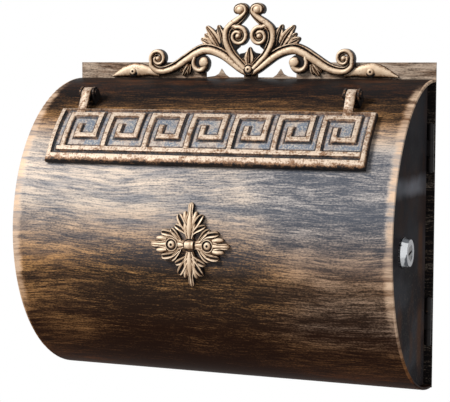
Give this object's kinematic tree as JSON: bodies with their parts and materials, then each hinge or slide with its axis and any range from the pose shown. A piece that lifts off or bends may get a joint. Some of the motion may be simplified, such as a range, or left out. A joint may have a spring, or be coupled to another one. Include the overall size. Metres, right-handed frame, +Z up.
{
  "type": "wall mailbox",
  "caption": "Half-round sheet-steel wall mailbox with a hinged letter flap over its slot, a lockable side door, a cast scrollwork crest and a leaf rosette.",
  "frame": {"origin": "on the wall plane (the back plate's rear face) at the drum's axis, midway between the four wall screw holes", "axes": "+X along the drum to the right as seen from the front, towards the side door; +Y into the wall; +Z up"},
  "size_m": [0.3311, 0.1366, 0.3256],
  "materials": {
    "black_gold_enamel": "gloss black enamel dry-brushed with antique gold",
    "dark_enamel": "satin near-black enamel",
    "gilded_casting": "antique gold over black, worn",
    "gilded_hardware": "antique gold over black, worn",
    "hinge_steel": "dark enamel with gold touches",
    "lock_chrome": "polished",
    "zinc_steel": "zinc plated"
  },
  "bodies": {
    "case": {"back_plate": "black_gold_enamel", "drum_shell": "black_gold_enamel", "left_end_panel": "black_gold_enamel", "door_frame": "dark_enamel", "hinge_leaf_fixed_upper": "hinge_steel", "hinge_leaf_fixed_lower": "hinge_steel", "door_hinge_pins": "hinge_steel", "flap_bracket_left": "gilded_hardware", "flap_bracket_right": "gilded_hardware", "flap_pins": "gilded_hardware", "crest": "gilded_casting", "crest_rivets": "gilded_hardware", "rosette": "gilded_casting", "rosette_rivets": "gilded_hardware"},
    "flap": {"letter_flap": "gilded_casting"},
    "door": {"side_door": "dark_enamel", "hinge_leaf_door_upper": "hinge_steel", "hinge_leaf_door_lower": "hinge_steel", "lock_housing": "lock_chrome", "lock_nut": "zinc_steel"},
    "lock_barrel": {"lock_plug": "lock_chrome", "lock_cam": "zinc_steel", "lock_cam_screw": "zinc_steel"}
  },
  "joints": [
    {"name": "flap_hinge", "type": "hinge", "parent": "case", "child": "flap", "pos_m": [0, -0.07345, 0.11754], "axis": [-1, 0, 0], "range_deg": [0, 100]},
    {"name": "door_hinge", "type": "hinge", "parent": "case", "child": "door", "pos_m": [0.1618, -0.0047, 0], "axis": [0, 0, 1], "range_deg": [0, 90]},
    {"name": "lock_turn", "type": "hinge", "parent": "door", "child": "lock_barrel", "pos_m": [0.15, -0.0805, -0.0065], "axis": [1, 0, 0], "range_deg": [0, 90]}
  ]
}
